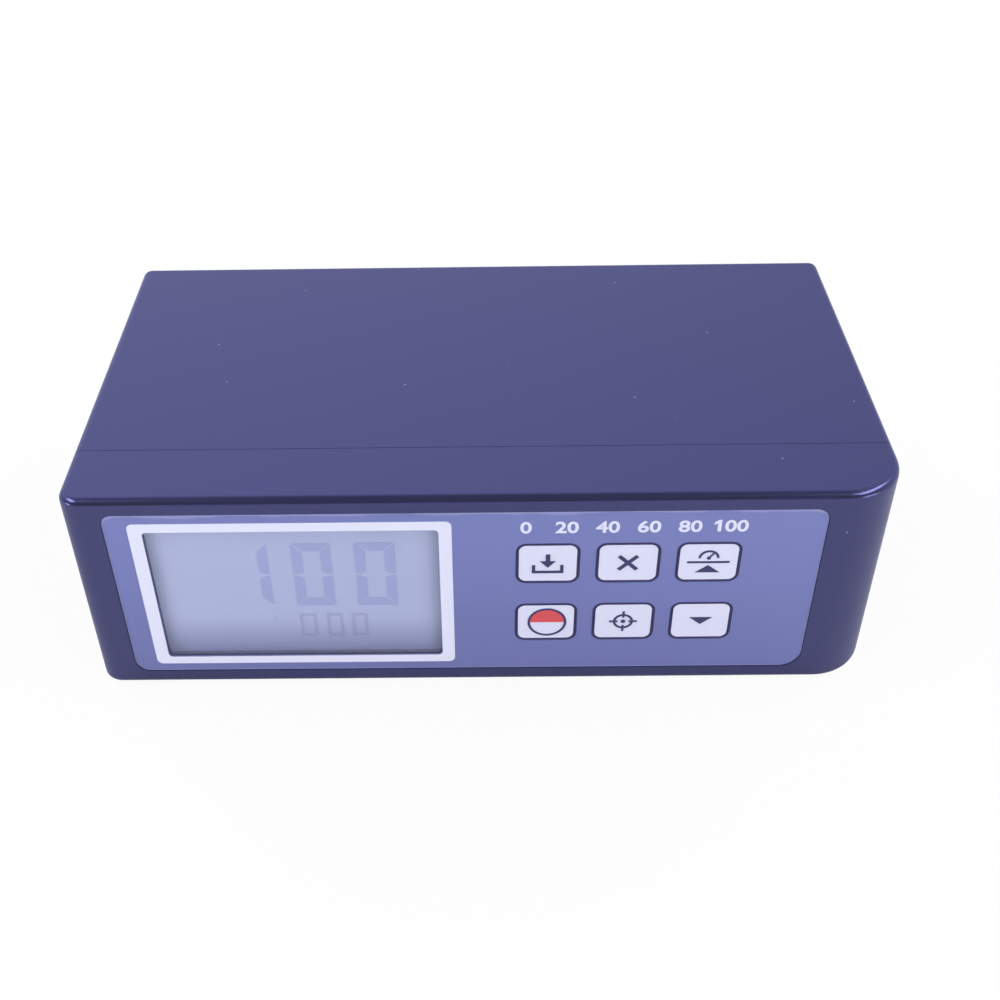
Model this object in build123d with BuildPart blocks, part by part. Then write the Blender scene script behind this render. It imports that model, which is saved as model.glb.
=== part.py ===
"""Whiteness meter: a hand-sized bench instrument that stands on the sample it measures.

Frame: origin under the middle of the case on the surface it stands on, +X to the right,
+Y to the back, +Z up. The display and the keys face -Y. All sizes are in millimetres.
"""
from build123d import *
import math
import os

os.makedirs("parts", exist_ok=True)

# Case
body_width = 140.0
body_depth = 75.0
body_height = 44.0
foot_height = 1.0
wall = 2.5
front_depth = 13.5
seam_gap = 0.10
front_left_radius = 3.5
front_right_radius = 10.0
back_corner_radius = 1.8
top_edge_radius = 1.4
low_edge_radius = 1.5
running_clearance = 0.1
boss_root = 0.2
hole_spare = 0.8
cut_spare = 0.5

# Lip of the front housing that locates the rear housing
lip_thickness = 1.0
lip_reach = 2.5
lip_root = 2.4

# Graphic film in its recess on the front
film_left_margin = 6.9
film_right_margin = 12.95
film_low_margin = 3.4
film_high_margin = 3.2
film_thickness = 0.3
film_recess = 0.5
film_clearance = 0.08
film_radii = {"top_left": 2.0, "top_right": 2.4, "low_right": 3.6, "low_left": 2.6}

# Display
window_left_margin = 6.3
window_key_gap = 13.05
window_low_margin = 3.5
window_high_margin = 3.8
window_corner = 0.8
lens_overlap = 0.9
lens_thickness = 0.4
window_ledge = 0.6
lcd_side_margin = 1.25
lcd_ledge = 2.8
lcd_thickness = 2.2
lcd_gap = 0.05
holder_wall = 0.9
zebra_width = 1.9
zebra_inset = 0.4
zebra_end_inset = 2.0
backlight_inset = 0.6

# Keys, with the columns counted from the left and the rows from the top
key_right_margin = 18.9
key_column_pitch = 13.575
key_top_margin = 11.65
key_row_pitch = 14.1
key_names = (
    ("save_key", "delete_key", "read_key"),
    ("power_key", "calibrate_key", "down_key"),
)
key_opening_width = 10.6
key_opening_height = 8.9
key_opening_corner = 1.7
key_gap = 0.4
key_travel = 0.4
key_pocket_depth = 0.6
key_post_radius = 1.9
key_post_gap = 0.3
switch_stem_radius = 1.6
switch_body_size = 6.0
switch_body_height = 3.5
switch_stem_stand = 1.1
switch_stem_length = 2.1

# Main board
board_gap = 6.0
board_thickness = 1.6
board_side_gap = 0.5
board_edge_gap = 1.9
board_post_radius = 2.6
board_post_inset = 3.6
board_post_side = 4.8
board_screw_radius = 1.0
board_screw_length = 6.4
small_head_radius = 2.0
small_head_height = 1.4
screw_tip_gap = 0.3

# Screws that hold the two housings together
case_boss_radius = 3.5
case_screw_radius = 1.4
case_screw_head_radius = 2.5
case_screw_head_height = 2.0
case_screw_length = 18.0
case_screw_bite = 7.0
screw_clearance = 0.2

# Battery bay under a sliding door
bay_side_gap = 1.4
bay_end_gap = 1.0
bay_spare_width = 1.4
cell_spring_room = 5.5
cell_radius = 5.25
cell_length = 43.5
cell_nipple_radius = 1.9
cell_nipple_length = 1.0
cell_pitch = 11.1
cell_count = 4
cell_lift = 0.15
cell_top_gap = 0.45
cell_shoulder = 0.5
tray_wall = 1.3
contact_thickness = 0.4
contact_width = 8.0
contact_height = 8.5
door_thickness = 1.2
door_tongue_width = 0.9
door_tongue_thickness = 0.6
door_margin = 0.6
door_clearance = 0.12
door_grip_count = 6
door_grip_pitch = 2.0
door_grip_depth = 0.4
tray_lug_length = 6.0
tray_lug_thickness = 2.0
tray_boss_height = 3.5
tray_boss_radius = 2.75
tray_lug_inset = 7.0
lead_radius = 0.6
lead_pitch = 2.4
lead_rise = 5.0
lead_reach = 7.5
lead_bend = 1.8

# Measuring head over the port in the floor of the case
port_side_gap = 39.5
port_back_gap = 31.0
port_radius = 10.0
ring_flange_radius = 17.0
ring_flange_sink = 0.6
ring_barrel_radius = 13.9
ring_chamfer = 0.8
glass_radius = 12.0
glass_thickness = 1.2
head_radius = 21.0
head_shoulder = 12.0
head_neck_radius = 9.0
head_top = 30.0
channel_radius = 3.2
emitter_radius = 2.5
emitter_length = 7.0
emitter_flange_radius = 2.9
emitter_count = 4
filter_radius = 4.1
filter_thickness = 1.8
detector_radius = 4.7
detector_height = 3.0
head_ear_radius = 3.5
head_ear_reach = 24.5
head_ear_thickness = 3.0
head_boss_height = 4.0
head_screw_radius = 1.2
sensor_board_size = (30.0, 24.0)
sensor_board_thickness = 1.6

# Data jack in the back wall
jack_side_gap = 17.5
jack_rise = 1.0
jack_bore_radius = 1.8
jack_bore_length = 14.0
jack_bush_radius = 3.0
jack_body_size = 9.0
jack_body_length = 13.0
jack_recess_radius = 6.0
jack_recess_depth = 1.4
jack_nut_radius = 4.6

# Rubber feet
foot_radius = 3.4
foot_sink = 0.5
foot_clearance = 0.1
foot_inset = 6.5
foot_corner_shift = 1.0

# Planes that the pieces share
front_y = -body_depth / 2
back_y = body_depth / 2
seam_y = front_y + front_depth
low_z = foot_height
high_z = foot_height + body_height
floor_z = low_z + wall
ceiling_z = high_z - wall
inner_x = body_width / 2 - wall
front_inner_y = front_y + wall
back_inner_y = back_y - wall
film_back_y = front_y + film_recess
film_front_y = film_back_y - film_thickness
board_front_y = front_inner_y + board_gap
board_back_y = board_front_y + board_thickness
middle_z = (low_z + high_z) / 2
film_left = film_left_margin - body_width / 2
film_right = body_width / 2 - film_right_margin
film_low = low_z + film_low_margin
film_high = high_z - film_high_margin
window_low = film_low + window_low_margin
window_high = film_high - window_high_margin
key_columns = [film_right - key_right_margin - i * key_column_pitch for i in (2, 1, 0)]
key_rows = [film_high - key_top_margin - i * key_row_pitch for i in range(2)]
window_back_y = film_back_y + lens_thickness + window_ledge
lcd_front_y = window_back_y + lcd_gap
lcd_back_y = lcd_front_y + lcd_thickness
boss_x = inner_x - running_clearance - lip_thickness - running_clearance - case_boss_radius
boss_dz = ceiling_z - middle_z - running_clearance - lip_thickness - running_clearance - case_boss_radius
case_boss_places = [(sx * boss_x, middle_z + sz * boss_dz) for sx in (-1, 1) for sz in (-1, 1)]
case_screw_tip_y = seam_y - case_screw_bite
case_screw_seat_y = case_screw_tip_y + case_screw_length
window_left = film_left + window_left_margin
window_right = key_columns[0] - key_opening_width / 2 - window_key_gap
board_width = 2 * (boss_x - case_boss_radius - board_side_gap)
board_low = floor_z + board_edge_gap
board_high = ceiling_z - board_edge_gap
board_post_xs = (window_right + window_key_gap / 2, board_width / 2 - board_post_side)
board_post_zs = (board_low + board_post_inset, board_high - board_post_inset)
board_posts = [(x, z) for x in board_post_xs for z in board_post_zs]
bay_width = (cell_count - 1) * cell_pitch + 2 * cell_radius + bay_spare_width
bay_centre_x = case_boss_radius - boss_x + bay_side_gap + tray_wall + bay_width / 2
tray_back = back_inner_y - bay_end_gap
bay_back = tray_back - tray_wall
bay_front = bay_back - 2 * contact_thickness - cell_nipple_length - cell_length - cell_spring_room
tray_front = bay_front - tray_wall
tray_lug_places = (tray_front + tray_lug_inset, tray_back - tray_lug_inset)
cell_z = floor_z + cell_lift + cell_radius
tray_inner_top = cell_z + cell_radius + cell_top_gap
tray_top = tray_inner_top + tray_wall
door_top_z = low_z + door_thickness
door_width = bay_width + 2 * door_margin
ring_top_z = floor_z + running_clearance
port_x = inner_x - port_side_gap
port_y = back_inner_y - port_back_gap
jack_x = inner_x - jack_side_gap
jack_z = middle_z + jack_rise
side_foot_x = body_width / 2 - foot_inset
front_foot_places = (
    (-side_foot_x, front_y + foot_inset),
    (body_width / 2 - front_right_radius, front_y + front_right_radius - foot_corner_shift),
)
back_foot_places = ((-side_foot_x, back_y - foot_inset), (side_foot_x, back_y - foot_inset))


def facing_front(y):
    """A plane at this y whose normal points to the front, with its own x and y along X and Z."""
    return Plane.XZ.offset(-y)


def slab(x0, x1, z0, z1, y0, y1, corner=0.0, mode=Mode.ADD):
    """A block between two x, two z and two y, with its four edges along Y rounded."""
    with BuildSketch(facing_front(y1)) as outline:
        with Locations(((x0 + x1) / 2, (z0 + z1) / 2)):
            if corner:
                RectangleRounded(x1 - x0, z1 - z0, corner)
            else:
                Rectangle(x1 - x0, z1 - z0)
    extrude(outline.sketch, amount=y1 - y0, mode=mode)


def level_block(x0, x1, y0, y1, z0, z1, mode=Mode.ADD):
    """A block between two x, two y and two z."""
    with BuildSketch(Plane.XY.offset(z0)) as outline:
        with Locations(((x0 + x1) / 2, (y0 + y1) / 2)):
            Rectangle(x1 - x0, y1 - y0)
    extrude(outline.sketch, amount=z1 - z0, mode=mode)


def round_rim(piece, is_rim):
    """Rounds the top and bottom edges of a shell, leaving out those that is_rim refuses."""
    for row, radius in ((-1, top_edge_radius), (0, low_edge_radius)):
        rim = piece.faces().sort_by(Axis.Z)[row].edges()
        fillet([edge for edge in rim if is_rim(edge.center().Y)], radius)


def rod(plane, radius, length, mode=Mode.ADD):
    """A round bar that starts on a plane and runs along its normal."""
    with BuildSketch(plane) as outline:
        Circle(radius)
    extrude(outline.sketch, amount=length, mode=mode)


def level_plane(x, y, z):
    """A horizontal plane with its origin at this point."""
    return Plane(origin=(x, y, z), x_dir=(1, 0, 0), z_dir=(0, 0, 1))


def front_plane(x, y, z):
    """A plane with its origin at this point and its normal towards the front."""
    return Plane(origin=(x, y, z), x_dir=(1, 0, 0), z_dir=(0, -1, 0))


def back_plane(x, y, z):
    """A plane with its origin at this point and its normal towards the back."""
    return Plane(origin=(x, y, z), x_dir=(-1, 0, 0), z_dir=(0, 1, 0))


def add_screw(seat, shank_radius, shank_length, head_radius, head_height):
    """A cross-head screw. The seat plane lies under its head and its normal points out of the head."""
    rod(seat, head_radius, head_height)
    rod(seat, shank_radius, -shank_length)
    slot_width = head_radius * 0.3
    with BuildSketch(seat.offset(head_height)) as outline:
        Rectangle(head_radius * 1.3, slot_width)
        Rectangle(slot_width, head_radius * 1.3)
    extrude(outline.sketch, amount=-head_height * 0.55, mode=Mode.SUBTRACT)


def save(piece, name):
    """Labels a finished piece and writes its file."""
    piece.part.label = name
    export_step(piece.part, f"parts/{name}.step")


def film_outline(sketch, grow):
    """Draws the outline of the graphic film in a sketch, grown on every side."""
    with Locations(((film_left + film_right) / 2, (film_low + film_high) / 2)):
        Rectangle(film_right - film_left + 2 * grow, film_high - film_low + 2 * grow)
    for name, radius in film_radii.items():
        row = -1 if name.startswith("top") else 0
        column = -1 if name.endswith("right") else 0
        corner = sketch.vertices().group_by(Axis.Y)[row].sort_by(Axis.X)[column]
        fillet(corner, radius + grow)


def plan_outline(sketch, x_half, y_front, y_back, left_radius, right_radius):
    """Draws the plan of the front housing in a sketch: its left corner is tighter than its right."""
    with Locations((0, (y_front + y_back) / 2)):
        Rectangle(2 * x_half, y_back - y_front)
    for column, radius in ((0, left_radius), (-1, right_radius)):
        corner = sketch.vertices().group_by(Axis.Y)[0].sort_by(Axis.X)[column]
        fillet(corner, radius)


def key_places():
    """Name, x and z of each key."""
    for row, names in enumerate(key_names):
        for column, name in enumerate(names):
            yield name, key_columns[column], key_rows[row]


# Front housing
front_end_y = seam_y - seam_gap / 2
with BuildPart() as front_housing:
    with BuildSketch(Plane.XY.offset(low_z)) as outer_plan:
        plan_outline(
            outer_plan, body_width / 2, front_y, front_end_y, front_left_radius, front_right_radius
        )
    extrude(amount=body_height)
    round_rim(front_housing, lambda y: y < front_end_y - 0.01)
    with BuildSketch(Plane.XY.offset(floor_z)) as inner_plan:
        plan_outline(
            inner_plan,
            inner_x,
            front_inner_y,
            front_end_y,
            max(front_left_radius - wall, 0.5),
            max(front_right_radius - wall, 0.5),
        )
    extrude(amount=body_height - 2 * wall, mode=Mode.SUBTRACT)
    # Lip: its root is part of the wall and its free end runs inside the rear housing
    lip_out_x = inner_x - running_clearance
    lip_out_z = (ceiling_z - floor_z) / 2 - running_clearance
    root_y = front_end_y - lip_root
    for start_y, end_y, grow in ((root_y, front_end_y, 0.5), (front_end_y, seam_y + lip_reach, 0.0)):
        with BuildSketch(facing_front(end_y)):
            with Locations((0, middle_z)):
                Rectangle(2 * (lip_out_x + grow), 2 * (lip_out_z + grow))
                Rectangle(
                    2 * (lip_out_x - lip_thickness),
                    2 * (lip_out_z - lip_thickness),
                    mode=Mode.SUBTRACT,
                )
        extrude(amount=end_y - start_y)
    for x, z in case_boss_places:
        rod(front_plane(x, front_end_y, z), case_boss_radius, front_end_y - front_inner_y + boss_root)
    for x, z in board_posts:
        rod(front_plane(x, board_front_y, z), board_post_radius, board_gap + boss_root)
    for x, z in case_boss_places:
        hole_radius = case_screw_radius + running_clearance / 2
        rod(front_plane(x, front_end_y, z), hole_radius, case_screw_bite + hole_spare, mode=Mode.SUBTRACT)
    for x, z in board_posts:
        hole_radius = board_screw_radius + running_clearance / 2
        hole_depth = board_screw_length - board_thickness + hole_spare
        rod(front_plane(x, board_front_y, z), hole_radius, hole_depth, mode=Mode.SUBTRACT)
    with BuildSketch(facing_front(film_back_y)) as recess_outline:
        film_outline(recess_outline, film_clearance)
    extrude(amount=film_recess, mode=Mode.SUBTRACT)
    # Step for the lens, the window behind it, and the pocket that seats the display glass
    slab(
        window_left - lens_overlap,
        window_right + lens_overlap,
        window_low - lens_overlap,
        window_high + lens_overlap,
        film_back_y - film_recess,
        film_back_y + lens_thickness,
        window_corner,
        Mode.SUBTRACT,
    )
    slab(
        window_left,
        window_right,
        window_low,
        window_high,
        film_back_y,
        front_inner_y + cut_spare,
        window_corner,
        Mode.SUBTRACT,
    )
    slab(
        window_left - lcd_side_margin - running_clearance,
        window_right + lcd_side_margin + running_clearance,
        window_low - lcd_ledge - running_clearance,
        window_high + lcd_ledge + running_clearance,
        window_back_y,
        front_inner_y + cut_spare,
        0.0,
        Mode.SUBTRACT,
    )
    for name, x, z in key_places():
        slab(
            x - key_opening_width / 2,
            x + key_opening_width / 2,
            z - key_opening_height / 2,
            z + key_opening_height / 2,
            film_back_y,
            film_back_y + key_pocket_depth,
            key_opening_corner,
            Mode.SUBTRACT,
        )
        hole_radius = key_post_radius + key_post_gap
        rod(front_plane(x, front_inner_y, z), hole_radius, wall, mode=Mode.SUBTRACT)
    for x, y in front_foot_places:
        rod(level_plane(x, y, low_z), foot_radius + foot_clearance, foot_sink, mode=Mode.SUBTRACT)
save(front_housing, "front_housing")

# Rear housing
rear_start_y = seam_y + seam_gap / 2
head_ear_angles = (100.0, 220.0, 340.0)
ear_places = [
    (
        port_x + head_ear_reach * math.cos(math.radians(angle)),
        port_y + head_ear_reach * math.sin(math.radians(angle)),
    )
    for angle in head_ear_angles
]
tray_right = bay_centre_x + bay_width / 2 + tray_wall
lug_x = tray_right + tray_lug_length / 2
with BuildPart() as rear_housing:
    with BuildSketch(Plane.XY.offset(low_z)) as rear_plan:
        with Locations((0, (rear_start_y + back_y) / 2)):
            Rectangle(body_width, back_y - rear_start_y)
        fillet(rear_plan.vertices().group_by(Axis.Y)[-1], back_corner_radius)
    extrude(amount=body_height)
    round_rim(rear_housing, lambda y: y > rear_start_y + 0.01)
    slab(-inner_x, inner_x, floor_z, ceiling_z, rear_start_y, back_inner_y, 0.0, Mode.SUBTRACT)
    for x, z in case_boss_places:
        boss_end_y = back_inner_y + boss_root
        rod(front_plane(x, boss_end_y, z), case_boss_radius, boss_end_y - rear_start_y)
    for x, z in case_boss_places:
        rod(
            front_plane(x, back_y, z),
            case_screw_head_radius + screw_clearance,
            back_y - case_screw_seat_y,
            mode=Mode.SUBTRACT,
        )
        rod(
            front_plane(x, back_y, z),
            case_screw_radius + screw_clearance,
            back_y - rear_start_y,
            mode=Mode.SUBTRACT,
        )
    # Bosses on the floor for the measuring head and the battery tray
    for x, y in ear_places:
        rod(level_plane(x, y, floor_z - boss_root), head_ear_radius, head_boss_height + boss_root)
        rod(
            level_plane(x, y, floor_z + head_boss_height),
            head_screw_radius + running_clearance / 2,
            -(head_boss_height + hole_spare),
            mode=Mode.SUBTRACT,
        )
    for y in tray_lug_places:
        rod(level_plane(lug_x, y, floor_z - boss_root), tray_boss_radius, tray_boss_height + boss_root)
        rod(
            level_plane(lug_x, y, floor_z + tray_boss_height),
            board_screw_radius + running_clearance / 2,
            -(tray_boss_height + hole_spare),
            mode=Mode.SUBTRACT,
        )
    # Seat and hole for the port ring
    rod(level_plane(port_x, port_y, low_z), ring_flange_radius + 0.15, ring_flange_sink, mode=Mode.SUBTRACT)
    rod(level_plane(port_x, port_y, low_z), ring_barrel_radius + 0.1, wall, mode=Mode.SUBTRACT)
    # Battery opening, the door's slot below it, and the grooves for the door's tongues
    level_block(
        bay_centre_x - bay_width / 2,
        bay_centre_x + bay_width / 2,
        bay_front,
        bay_back,
        low_z,
        floor_z,
        Mode.SUBTRACT,
    )
    door_start_y = tray_front - 0.2
    for half_width, base_z in (
        (door_width / 2, low_z),
        (door_width / 2 + door_tongue_width, door_top_z - door_tongue_thickness - door_clearance),
    ):
        level_block(
            bay_centre_x - half_width - door_clearance,
            bay_centre_x + half_width + door_clearance,
            door_start_y - door_clearance,
            back_y,
            base_z,
            door_top_z + door_clearance,
            Mode.SUBTRACT,
        )
    for x, y in back_foot_places:
        rod(level_plane(x, y, low_z), foot_radius + foot_clearance, foot_sink, mode=Mode.SUBTRACT)
    # Hole for the data jack, with a recess for its nut
    rod(front_plane(jack_x, back_y, jack_z), jack_recess_radius, jack_recess_depth, mode=Mode.SUBTRACT)
    rod(front_plane(jack_x, back_y, jack_z), jack_bush_radius + 0.1, wall, mode=Mode.SUBTRACT)
save(rear_housing, "rear_housing")

# Graphic film over the recess, open at the window and at each key
with BuildPart() as panel_film:
    with BuildSketch(facing_front(film_back_y)) as film_face:
        film_outline(film_face, 0.0)
        with Locations(((window_left + window_right) / 2, (window_low + window_high) / 2)):
            RectangleRounded(
                window_right - window_left,
                window_high - window_low,
                window_corner,
                mode=Mode.SUBTRACT,
            )
        with Locations([(x, z) for name, x, z in key_places()]):
            RectangleRounded(
                key_opening_width, key_opening_height, key_opening_corner, mode=Mode.SUBTRACT
            )
    extrude(amount=film_thickness)
save(panel_film, "panel_film")

# Clear lens behind the window of the film
with BuildPart() as display_window:
    slab(
        window_left - lens_overlap + running_clearance,
        window_right + lens_overlap - running_clearance,
        window_low - lens_overlap + running_clearance,
        window_high + lens_overlap - running_clearance,
        film_back_y,
        film_back_y + lens_thickness,
        window_corner,
    )
save(display_window, "display_window")

# Display glass, its light box, its two contact strips and the frame that holds them on the board
with BuildPart() as lcd_glass:
    slab(
        window_left - lcd_side_margin,
        window_right + lcd_side_margin,
        window_low - lcd_ledge,
        window_high + lcd_ledge,
        lcd_front_y,
        lcd_back_y,
    )
save(lcd_glass, "lcd_glass")

with BuildPart() as lcd_backlight:
    slab(
        window_left,
        window_right,
        window_low + backlight_inset,
        window_high - backlight_inset,
        lcd_back_y,
        board_front_y,
        window_corner,
    )
save(lcd_backlight, "lcd_backlight")

with BuildPart() as zebra_strips:
    low_strip_z = window_low - lcd_ledge + zebra_inset
    high_strip_z = window_high + lcd_ledge - zebra_inset - zebra_width
    for z0 in (low_strip_z, high_strip_z):
        slab(
            window_left + zebra_end_inset,
            window_right - zebra_end_inset,
            z0,
            z0 + zebra_width,
            lcd_back_y,
            board_front_y,
        )
save(zebra_strips, "zebra_strips")

with BuildPart() as lcd_holder:
    glass_x0 = window_left - lcd_side_margin - running_clearance
    glass_x1 = window_right + lcd_side_margin + running_clearance
    glass_z0 = window_low - lcd_ledge - running_clearance
    glass_z1 = window_high + lcd_ledge + running_clearance
    holder_front_y = front_inner_y + running_clearance
    slab(
        glass_x0 - holder_wall,
        glass_x1 + holder_wall,
        glass_z0 - holder_wall / 2,
        glass_z1 + holder_wall / 2,
        holder_front_y,
        board_front_y,
    )
    slab(glass_x0, glass_x1, glass_z0, glass_z1, holder_front_y, lcd_back_y, 0.0, Mode.SUBTRACT)
    slab(
        window_left - running_clearance,
        window_right + running_clearance,
        glass_z0,
        glass_z1,
        lcd_back_y,
        board_front_y,
        0.0,
        Mode.SUBTRACT,
    )
save(lcd_holder, "lcd_holder")

# Keys: the printed pad of the film with its post, and below it the stem of its switch
switch_front_y = board_front_y - switch_body_height
stem_front_y = switch_front_y - switch_stem_stand
for name, x, z in key_places():
    with BuildPart() as key:
        slab(
            x - key_opening_width / 2 + key_gap,
            x + key_opening_width / 2 - key_gap,
            z - key_opening_height / 2 + key_gap,
            z + key_opening_height / 2 - key_gap,
            film_front_y,
            film_back_y,
            key_opening_corner - key_gap,
        )
        rod(front_plane(x, stem_front_y, z), key_post_radius, stem_front_y - film_back_y)
    save(key, name)
    with BuildPart() as stem:
        rod(
            front_plane(x, stem_front_y + switch_stem_length, z),
            switch_stem_radius,
            switch_stem_length,
        )
    save(stem, f"{name}_stem")

with BuildPart() as tact_switches:
    for name, x, z in key_places():
        half = switch_body_size / 2
        slab(x - half, x + half, z - half, z + half, switch_front_y, board_front_y, 0.6)
    for name, x, z in key_places():
        well_depth = switch_stem_length - switch_stem_stand + key_travel + 0.2
        rod(
            back_plane(x, switch_front_y, z),
            switch_stem_radius + running_clearance,
            well_depth,
            mode=Mode.SUBTRACT,
        )
save(tact_switches, "tact_switches")

# Main board with its parts and screws
with BuildPart() as main_board:
    slab(-board_width / 2, board_width / 2, board_low, board_high, board_front_y, board_back_y, 1.0)
    for x, z in board_posts:
        hole_radius = board_screw_radius + screw_clearance
        rod(front_plane(x, board_back_y, z), hole_radius, board_thickness, mode=Mode.SUBTRACT)
save(main_board, "main_board")

with BuildPart() as board_screws:
    for x, z in board_posts:
        add_screw(
            back_plane(x, board_back_y, z),
            board_screw_radius,
            board_screw_length,
            small_head_radius,
            small_head_height,
        )
save(board_screws, "board_screws")

chip_size = 14.0
chip_right = window_right - 9.65
chip_high = board_high - 2.6
with BuildPart() as controller_chip:
    slab(
        chip_right - chip_size,
        chip_right,
        chip_high - chip_size,
        chip_high,
        board_back_y,
        board_back_y + 1.6,
        0.4,
    )
save(controller_chip, "controller_chip")

# Small parts: left edge, drop of the top edge from the board's, width, height, thickness
board_part_boxes = (
    (chip_right - 21.0, 5.6, 6.0, 5.0, 2.0),
    (chip_right - 25.0, 2.6, 3.0, 11.0, 3.5),
    (chip_right - 18.0, 17.6, 4.0, 4.0, 1.2),
    (key_columns[0] - 5.0, 9.6, 6.0, 4.0, 1.5),
    (key_columns[0] - 5.0, 16.6, 5.0, 4.0, 2.2),
    (board_post_xs[1] - 18.0, 4.6, 8.0, 6.0, 1.6),
)
can_radius = 2.5
can_height = 4.5
with BuildPart() as board_parts:
    for left, drop, width, height, thickness in board_part_boxes:
        slab(
            left,
            left + width,
            board_high - drop - height,
            board_high - drop,
            board_back_y,
            board_back_y + thickness,
            0.3,
        )
    for x in (board_post_xs[1] - 9.5, board_post_xs[1] - 2.5):
        rod(back_plane(x, board_back_y, middle_z + 2.0), can_radius, can_height)
save(board_parts, "board_parts")

# Long screws that enter from the back and bite in the front housing
with BuildPart() as case_screws:
    for x, z in case_boss_places:
        add_screw(
            back_plane(x, case_screw_seat_y, z),
            case_screw_radius,
            case_screw_length,
            case_screw_head_radius,
            case_screw_head_height,
        )
save(case_screws, "case_screws")

# Battery tray, open downwards, with two lugs for its screws
with BuildPart() as battery_tray:
    level_block(
        bay_centre_x - bay_width / 2 - tray_wall,
        tray_right,
        tray_front,
        tray_back,
        floor_z,
        tray_top,
    )
    level_block(
        bay_centre_x - bay_width / 2,
        bay_centre_x + bay_width / 2,
        bay_front,
        bay_back,
        floor_z,
        tray_inner_top,
        Mode.SUBTRACT,
    )
    lug_z = floor_z + tray_boss_height
    for y in tray_lug_places:
        level_block(
            tray_right - boss_root,
            tray_right + tray_lug_length,
            y - tray_lug_length / 2,
            y + tray_lug_length / 2,
            lug_z,
            lug_z + tray_lug_thickness,
        )
        rod(
            level_plane(lug_x, y, lug_z),
            board_screw_radius + screw_clearance,
            tray_lug_thickness,
            mode=Mode.SUBTRACT,
        )
save(battery_tray, "battery_tray")

with BuildPart() as tray_screws:
    for y in tray_lug_places:
        add_screw(
            level_plane(lug_x, y, lug_z + tray_lug_thickness),
            board_screw_radius,
            tray_lug_thickness + tray_boss_height - screw_tip_gap,
            small_head_radius,
            small_head_height,
        )
save(tray_screws, "tray_screws")

# Cells lie along Y and turn about, each with its plus end on a plate and its minus end on a leaf
cell_places = [
    (bay_centre_x + (i - (cell_count - 1) / 2) * cell_pitch, 1 if i % 2 else -1)
    for i in range(cell_count)
]
plate_front_y = bay_front + contact_thickness
plate_back_y = bay_back - contact_thickness
with BuildPart() as battery_cells:
    for x, side in cell_places:
        tip_y = plate_back_y if side > 0 else plate_front_y
        nipple_plane = front_plane(x, tip_y, cell_z)
        rod(nipple_plane, cell_nipple_radius, side * cell_nipple_length)
        can_plane = front_plane(x, tip_y - side * cell_nipple_length, cell_z)
        rod(can_plane, cell_radius, side * cell_length)
    rims = battery_cells.edges().filter_by(GeomType.CIRCLE)
    fillet([rim for rim in rims if rim.radius > cell_nipple_radius], cell_shoulder)
save(battery_cells, "battery_cells")

with BuildPart() as battery_plates:
    for x, side in cell_places:
        y0, y1 = (plate_back_y, bay_back) if side > 0 else (bay_front, plate_front_y)
        slab(
            x - contact_width / 2,
            x + contact_width / 2,
            cell_z - contact_height / 2,
            cell_z + contact_height / 2,
            y0,
            y1,
        )
save(battery_plates, "battery_plates")

with BuildPart() as battery_springs:
    for x, side in cell_places:
        wall_y = bay_front if side > 0 else bay_back
        can_end_y = (plate_back_y if side > 0 else plate_front_y) - side * (cell_nipple_length + cell_length)
        mid = contact_thickness / 2
        nose_y = can_end_y - side * mid
        base_y = wall_y + side * mid
        with BuildSketch(Plane(origin=(x - contact_width / 2, 0, 0), x_dir=(0, 1, 0), z_dir=(1, 0, 0))):
            with BuildLine():
                FilletPolyline(
                    (base_y, cell_z - contact_height / 2),
                    (base_y, cell_z + contact_height / 2),
                    (nose_y, cell_z + 0.6),
                    (nose_y, cell_z - 1.2),
                    (base_y + side * 1.4, cell_z - contact_height / 2 + 0.5),
                    radius=0.5,
                )
            trace(line_width=contact_thickness)
        extrude(amount=contact_width)
save(battery_springs, "battery_springs")

# Sliding door with a tongue on each side and a grip at its back end
door_y0 = door_start_y
with BuildPart() as battery_door:
    level_block(
        bay_centre_x - door_width / 2,
        bay_centre_x + door_width / 2,
        door_y0,
        back_y,
        low_z,
        door_top_z,
    )
    level_block(
        bay_centre_x - door_width / 2 - door_tongue_width,
        bay_centre_x + door_width / 2 + door_tongue_width,
        door_y0,
        back_y,
        door_top_z - door_tongue_thickness,
        door_top_z,
    )
    heel = battery_door.edges().filter_by(Axis.X).group_by(Axis.Z)[0].sort_by(Axis.Y)[-1]
    fillet(heel, door_thickness - running_clearance)
    for i in range(door_grip_count):
        groove_y = back_y - 6.0 - i * door_grip_pitch
        level_block(
            bay_centre_x - 9.0,
            bay_centre_x + 9.0,
            groove_y - 0.5,
            groove_y + 0.5,
            low_z,
            low_z + door_grip_depth,
            Mode.SUBTRACT,
        )
save(battery_door, "battery_door")

# Leads from the tray up to the main board
lead_start_y = tray_front + 3.0
lead_x = (tray_right - 2 * lead_pitch, tray_right - lead_pitch)
with BuildPart() as battery_leads:
    for x in lead_x:
        with BuildLine() as route:
            FilletPolyline(
                (x, lead_start_y, tray_top),
                (x, lead_start_y, tray_top + lead_rise),
                (x, (lead_start_y + board_back_y) / 2, tray_top + lead_reach),
                (x, board_back_y, tray_top + lead_reach),
                radius=lead_bend,
            )
        with BuildSketch(level_plane(x, lead_start_y, tray_top)):
            Circle(lead_radius)
        sweep()
save(battery_leads, "battery_leads")

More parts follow.
